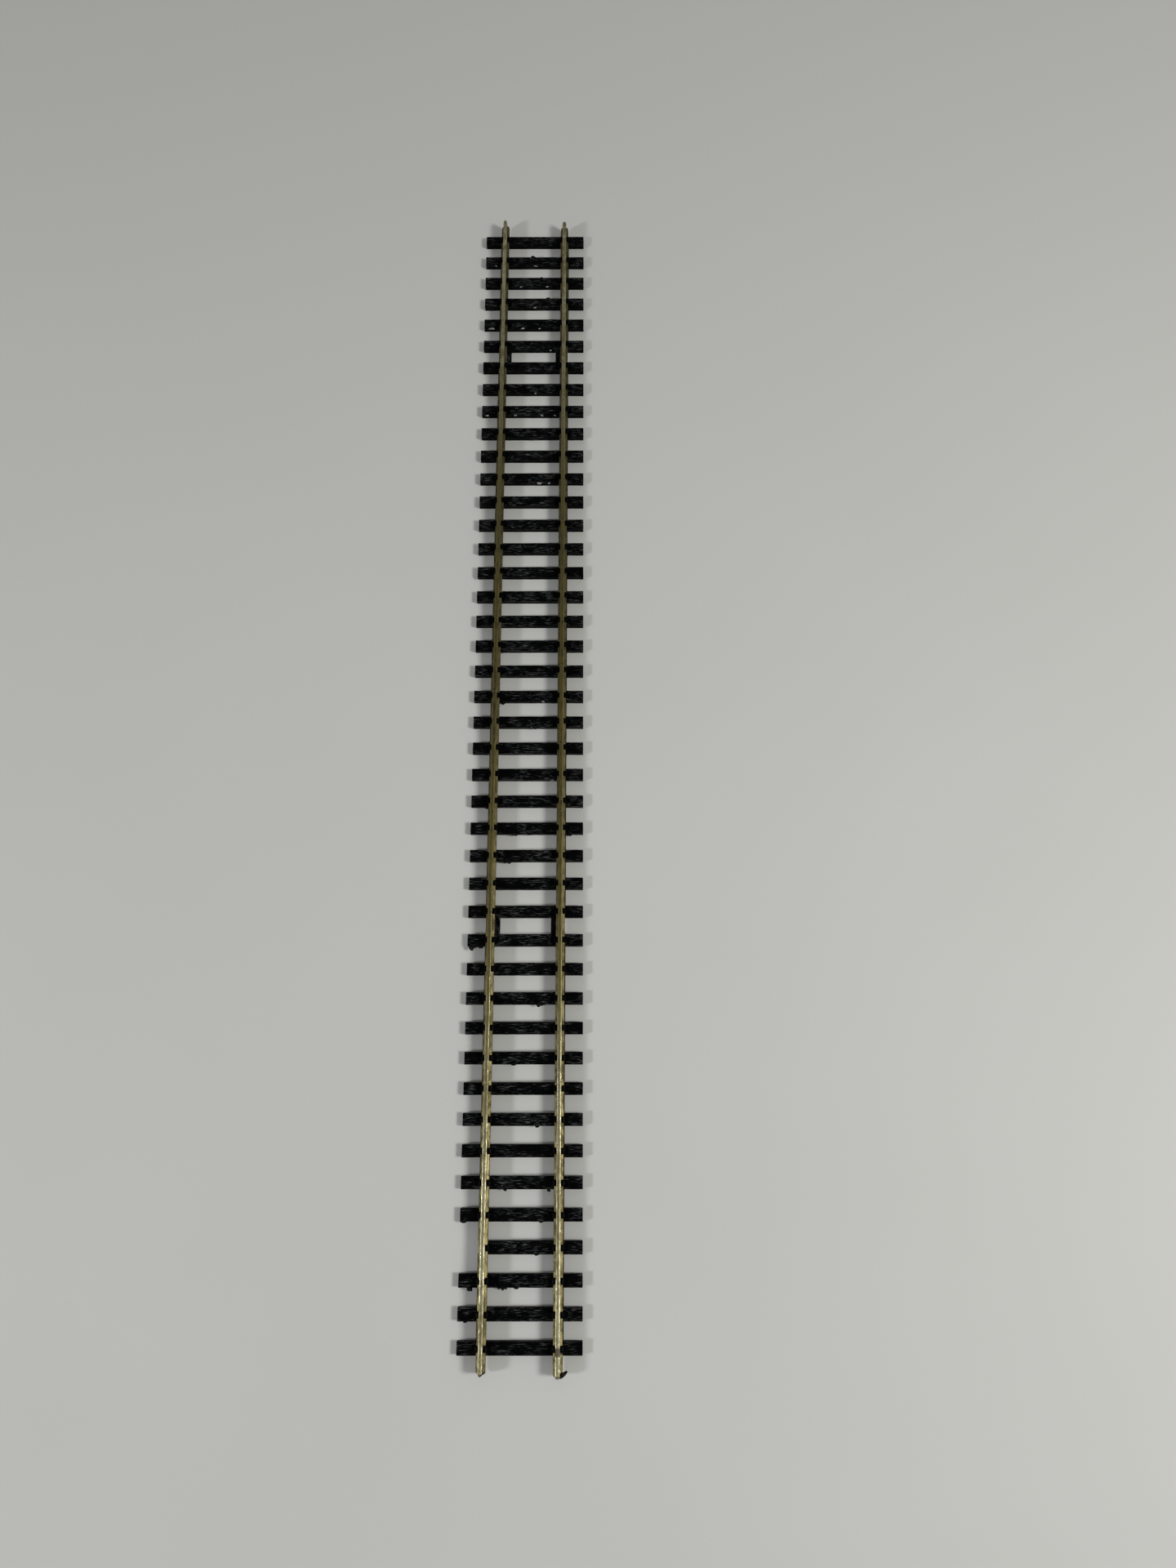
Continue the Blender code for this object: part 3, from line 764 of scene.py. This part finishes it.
# What is left of the head and of the foot at each cut end, to the left and to the right of the rail's middle:
# distance from the tip and half width there, in mm
ENDS = {
    ("left", "far"): {
        "head": ([(0, 0.30), (0.35, 0.36), (0.9, 0.55)], [(0, 0.27), (0.5, 0.42), (1.0, 0.55)]),
        "foot": ([(0, 0.18), (0.55, 0.20), (0.64, 0.72), (1.35, 1.125)],
                 [(0, 0.18), (0.55, 0.22), (0.64, 0.92), (1.2, 1.125)])},
    ("right", "far"): {
        "head": ([(0, 0.36), (0.3, 0.46), (0.8, 0.55)], [(0, 0.38), (0.4, 0.50), (0.7, 0.55)]),
        "foot": ([(0, 0.20), (0.55, 0.24), (0.64, 0.98), (1.8, 1.125)],
                 [(0, 0.20), (0.55, 0.24), (0.64, 0.96), (1.8, 1.125)])},
    ("left", "near"): {
        "head": ([(0, 0.16), (0.5, 0.42), (0.8, 0.55)], [(0, 0.12), (0.6, 0.45), (0.9, 0.55)]),
        "foot": ([(0, 0.20), (0.52, 1.02), (0.62, 1.125)], [(0, 0.22), (0.46, 1.08), (0.55, 1.125)])},
    ("right", "near"): {
        "head": ([(0, 0.36), (0.3, 0.50), (0.5, 0.55)], [(0, 0.40), (0.4, 0.55)]),
        "foot": ([(0, 0.72), (0.3, 1.0), (0.6, 1.125)], [(0, 0.78), (0.3, 1.06), (0.5, 1.125)])},
}
# Nothing is changed further from the tip than this
END_LENGTH = 3.0

# The cutters pressed the head's top down: how far at the tip, over what length, and from what height up, in mm
DROOPS = {
    ("left", "far"): (0.18, 0.45, 2.2), ("right", "far"): (0.18, 0.45, 2.2),
    ("left", "near"): (0.42, 0.7, 1.9), ("right", "near"): (0.22, 0.7, 1.9)}

# Rings across a cut face, so that it is uneven: what is left of the outline, and how far it is sunk in mm
CUT_RINGS = [(0.8, 0.05), (0.5, 0.12), (0.2, 0.09)]


def kept_half(profile, distance):
    return float(np.interp(distance, *zip(*profile)))


def rail_stations(low, high):
    """Y values along a rail, close together near its ends."""
    from_tip = np.concatenate([np.arange(0, 1.4, 0.05), np.arange(1.4, END_LENGTH, 0.2)]) * MM
    middle = np.arange(low + END_LENGTH * MM, high - END_LENGTH * MM, 0.55 * MM)
    return np.sort(np.concatenate([low + from_tip, middle, high - from_tip]))


def cut_end(section, side_name, end, distance):
    """Changes a section, in mm, to what is left of it at this distance from a cut end."""
    for zone, (left, right) in ENDS[side_name, end].items():
        inside = section[:, 1] > HEAD_FROM if zone == "head" else section[:, 1] < FOOT_TO
        section[inside, 0] = np.clip(section[inside, 0], -kept_half(left, distance), kept_half(right, distance))
    most, length, above = DROOPS[side_name, end]
    droop = max(0.0, 1 - distance / length) ** 2 * most
    upper = section[:, 1] > above
    section[upper, 1] -= droop * (section[upper, 1] - above) / (RAIL_HEIGHT - above)


def wear(points, side):
    """Moves a rail's points for the unevenness of the drawn metal, and for small dents along the head's corners."""
    wave = 0.0025 * MM * noise(points, (0.5 * MM, 9.0 * MM, 0.5 * MM), 11 + side)
    dents = np.clip(noise(points, (0.4 * MM, 0.9 * MM, 0.5 * MM), 13 + side) - 0.62, 0, 1)
    head = points[:, 2] > RAIL_BOTTOM + 1.9 * MM
    points[:, 0] += wave
    corner = head & (np.abs(points[:, 0] - side * RAIL_X) > 0.38 * MM)
    points[corner, 2] -= 0.16 * MM * dents[corner]
    points[corner, 0] -= np.sign(points[corner, 0] - side * RAIL_X) * 0.10 * MM * dents[corner]


def rail(side_name):
    side = SIDES[side_name]
    name = f"rail_{side_name}"
    low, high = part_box(name)
    half = np.array(HALF_SECTION)
    outline = np.concatenate([half, (half * (-1, 1))[-2:0:-1]])
    count = len(outline)
    stations = rail_stations(low.y, high.y)
    points = []
    for y in stations:
        section = outline.copy()
        for end, distance in (("near", (y - low.y) / MM), ("far", (high.y - y) / MM)):
            if distance <= END_LENGTH:
                cut_end(section, side_name, end, distance)
        points.extend([(side * RAIL_X + u * MM, y, RAIL_BOTTOM + h * MM) for u, h in section])
    points = np.array(points)
    wear(points, side)
    faces = bands(len(stations), count)
    # The cut faces are rough, and drawn in towards the section's middle
    for last, outward in ((0, -1), (len(stations) - 1, 1)):
        tip = points[last * count:(last + 1) * count]
        tip[:, 1] -= outward * np.abs(noise(tip, (0.25 * MM, SLOW, 0.25 * MM), 31 + side) * 0.06 * MM)
        centre = tip.mean(0)
        previous = [last * count + k for k in range(count)]
        for kept, depth in CUT_RINGS:
            ring = centre + (tip - centre) * (kept, 0, 0.2 + 0.8 * kept)
            uneven = 0.05 * MM * (1 + noise(ring, (0.3 * MM, SLOW, 0.3 * MM), 37 + side))
            ring[:, 1] = stations[last] - outward * (depth * MM + uneven)
            current = [len(points) + k for k in range(count)]
            points = np.concatenate([points, ring])
            for k in range(count):
                after = (k + 1) % count
                faces.append([previous[k], previous[after], current[after], current[k]])
            previous = current
        faces.append(previous)
    piece = make_piece(f"{name}_drawn", recalculated(mesh_from(name, points, faces)), RAIL_MATERIAL)
    shade(piece.data, math.radians(44))
    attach(piece, RAIL_BODIES[side_name])
    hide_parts(name)


for rail_name in SIDES:
    rail(rail_name)

# The sliver at the right rail's near end: across and along from the rail's centre and tip, height above the foot's
# underside, half width and half height, in mm
BURR_PATH = [
    (0.30, 0.10, 0.80, 0.24, 0.20), (0.62, 0.18, 0.84, 0.38, 0.28), (0.98, 0.40, 0.84, 0.44, 0.28),
    (1.34, 0.70, 0.82, 0.43, 0.24), (1.68, 0.98, 0.84, 0.38, 0.19), (1.98, 1.24, 0.88, 0.27, 0.14),
    (2.18, 1.42, 0.92, 0.10, 0.07)]
BURR_SIDES = 14
BURR_FLATTENED = 0.7


def burr():
    """A dark, bent sliver that the cutters left at the right rail's near end. It is shaped in mm, then scaled."""
    points = []
    for k, (across, along, height, half_width, half_height) in enumerate(BURR_PATH):
        before, after = BURR_PATH[max(k - 1, 0)], BURR_PATH[min(k + 1, len(BURR_PATH) - 1)]
        heading = math.atan2(after[1] - before[1], after[0] - before[0])
        for j in range(BURR_SIDES):
            angle = 2 * math.pi * j / BURR_SIDES
            wide = half_width * math.cos(angle)
            tall = half_height * math.sin(angle) * (1.0 if math.sin(angle) < 0 else BURR_FLATTENED)
            points.append((across - wide * math.sin(heading), along + wide * math.cos(heading), height + tall))
    mesh = recalculated(mesh_from("burr", points, closed_bands(len(BURR_PATH), BURR_SIDES)))
    bm = bmesh.new()
    bm.from_mesh(mesh)
    bmesh.ops.subdivide_edges(bm, edges=bm.edges, cuts=2, use_grid_fill=True, smooth=0.6)
    bmesh.ops.triangulate(bm, faces=[f for f in bm.faces if len(f.verts) > 4])
    bm.to_mesh(mesh)
    bm.free()
    spots = np.array([v.co[:] for v in mesh.vertices])
    swell = 0.045 * noise(spots, 0.22, 611)
    spots += np.stack([swell, 0.8 * swell, 0.03 * noise(spots, 0.3, 612)], 1)
    spots = spots * MM + (RAIL_X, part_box("rail_right")[0].y, RAIL_BOTTOM)
    mesh.vertices.foreach_set("co", spots.astype(np.float32).ravel())
    mesh.update()
    piece = make_piece("rail_right_burr", mesh, BURR_MATERIAL)
    shade(mesh, math.radians(50))
    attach(piece, RAIL_BODIES["right"])


burr()

# The sheet, the light and the camera

# The sheet lies a hair below the sleepers' undersides, so that the two don't share a plane
SHEET_SIZE = 3.0
SHEET_Z = -0.02 * MM
bpy.ops.mesh.primitive_plane_add(size=SHEET_SIZE, location=(0.0, 0.0, SHEET_Z))
sheet = bpy.context.object
sheet.name = "sheet"
sheet.data.materials.append(sheet_material())


def area_light(name, towards, distance, size, energy, colour):
    """A round lamp that shines on the origin from the direction given by towards."""
    data = bpy.data.lights.new(name, "AREA")
    data.shape = "DISK"
    data.size = size
    data.energy = energy
    data.color = colour
    light = bpy.data.objects.new(name, data)
    direction = Vector(towards).normalized()
    light.location = direction * distance
    light.rotation_euler = direction.to_track_quat("Z", "Y").to_euler()
    bpy.context.scene.collection.objects.link(light)


area_light("key", (0.97, -0.28, 1.0), 0.84, 0.20, 3.6, (1.0, 0.985, 0.955))
area_light("fill", (-1.45, -0.55, 1.0), 0.90, 0.11, 2.5, (0.97, 0.98, 1.0))

# The room's brightness by the direction's X and Y: even, with a dark patch above the track's far half, a lamp near the
# zenith, and more light low down beyond the far end
ROOM_LEVEL = 0.23
DARK_LEVEL = 0.03
LAMP_LEVEL = 1.1
FAR_LEVEL = 0.24
world = bpy.data.worlds.new("studio")
bpy.context.scene.world = world
world.use_nodes = True
sky = world.node_tree
heading = split(sky, sky.nodes.new("ShaderNodeTexCoord").outputs["Generated"])
sideways = calculated(sky, "ABSOLUTE", heading[0])
dark = multiplied(
    sky, remapped(sky, heading[1], 0.0, 0.07), remapped(sky, heading[1], 0.62, 0.46),
    remapped(sky, sideways, 0.50, 0.36))
lamp = multiplied(
    sky, remapped(sky, heading[1], -0.34, -0.24), remapped(sky, heading[1], 0.01, -0.04),
    remapped(sky, sideways, 0.17, 0.10))
level = added(
    sky, remapped(sky, dark, 0.0, 1.0, ROOM_LEVEL, DARK_LEVEL), remapped(sky, lamp, 0.0, 1.0, 0.0, LAMP_LEVEL),
    remapped(sky, heading[1], 0.52, 0.70, 0.0, FAR_LEVEL))
sky.links.new(level, sky.nodes["Background"].inputs["Strength"])
sky.nodes["Background"].inputs["Color"].default_value = (1.0, 0.995, 0.97, 1.0)

bpy.context.scene.view_settings.view_transform = "Standard"

# The camera that matches the photo
CAMERA_LENS = 26.121
CAMERA_SENSOR = 36.0
CAMERA_PLACE = (0.01621, -0.09443, 0.28727)
CAMERA_TURN = (15.214, 0.095, -0.018)
camera_data = bpy.data.cameras.new("camera")
camera_data.lens = CAMERA_LENS
camera_data.sensor_width = CAMERA_SENSOR
camera_data.clip_start = 0.005
camera = bpy.data.objects.new("camera", camera_data)
camera.location = CAMERA_PLACE
camera.rotation_euler = Euler([math.radians(angle) for angle in CAMERA_TURN], "XYZ")
bpy.context.scene.collection.objects.link(camera)
bpy.context.scene.camera = camera
